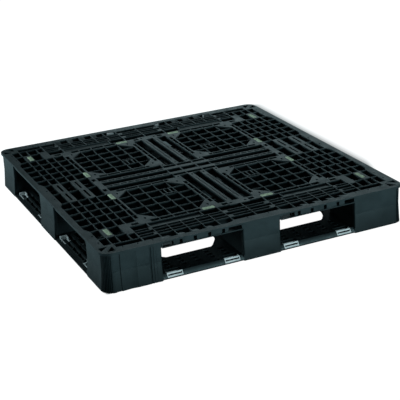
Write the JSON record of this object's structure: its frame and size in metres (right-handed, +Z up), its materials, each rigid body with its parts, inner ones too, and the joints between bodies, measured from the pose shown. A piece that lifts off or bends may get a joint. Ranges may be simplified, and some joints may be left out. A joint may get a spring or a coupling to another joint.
{
  "type": "plastic pallet",
  "caption": "Square four-way plastic pallet: grid deck on nine hollow columns over a deck with large openings, with grip pads on top and inserts along the lower edges.",
  "frame": {"origin": "middle of the underside, on the floor plane", "axes": "+Z up; -Y is the front, which shows the narrower pair of fork openings; -X is the left side; +X right, +Y back"},
  "size_m": [1.1, 1.1, 0.136],
  "materials": {
    "black_polypropylene": "satin moulded black with a faint blue cast",
    "grip_elastomer": "matte pale yellow-green elastomer",
    "insert_elastomer": "glossy pale grey elastomer"
  },
  "bodies": {
    "root": {"upper_deck": "black_polypropylene", "lower_deck": "black_polypropylene", "grip_pad_corner_front_left": "grip_elastomer", "grip_pad_corner_front_right": "grip_elastomer", "grip_pad_corner_back_left": "grip_elastomer", "grip_pad_corner_back_right": "grip_elastomer", "grip_pad_side_front_left": "grip_elastomer", "grip_pad_side_front_right": "grip_elastomer", "grip_pad_side_back_left": "grip_elastomer", "grip_pad_side_back_right": "grip_elastomer", "grip_pad_end_front_left": "grip_elastomer", "grip_pad_end_front_right": "grip_elastomer", "grip_pad_end_back_left": "grip_elastomer", "grip_pad_end_back_right": "grip_elastomer", "edge_insert_front_1": "insert_elastomer", "edge_insert_front_2": "insert_elastomer", "edge_insert_front_3": "insert_elastomer", "edge_insert_front_4": "insert_elastomer", "edge_insert_back_1": "insert_elastomer", "edge_insert_back_2": "insert_elastomer", "edge_insert_back_3": "insert_elastomer", "edge_insert_back_4": "insert_elastomer", "edge_insert_left_1": "insert_elastomer", "edge_insert_left_2": "insert_elastomer", "edge_insert_left_3": "insert_elastomer", "edge_insert_left_4": "insert_elastomer", "edge_insert_right_1": "insert_elastomer", "edge_insert_right_2": "insert_elastomer", "edge_insert_right_3": "insert_elastomer", "edge_insert_right_4": "insert_elastomer"}
  },
  "joints": []
}
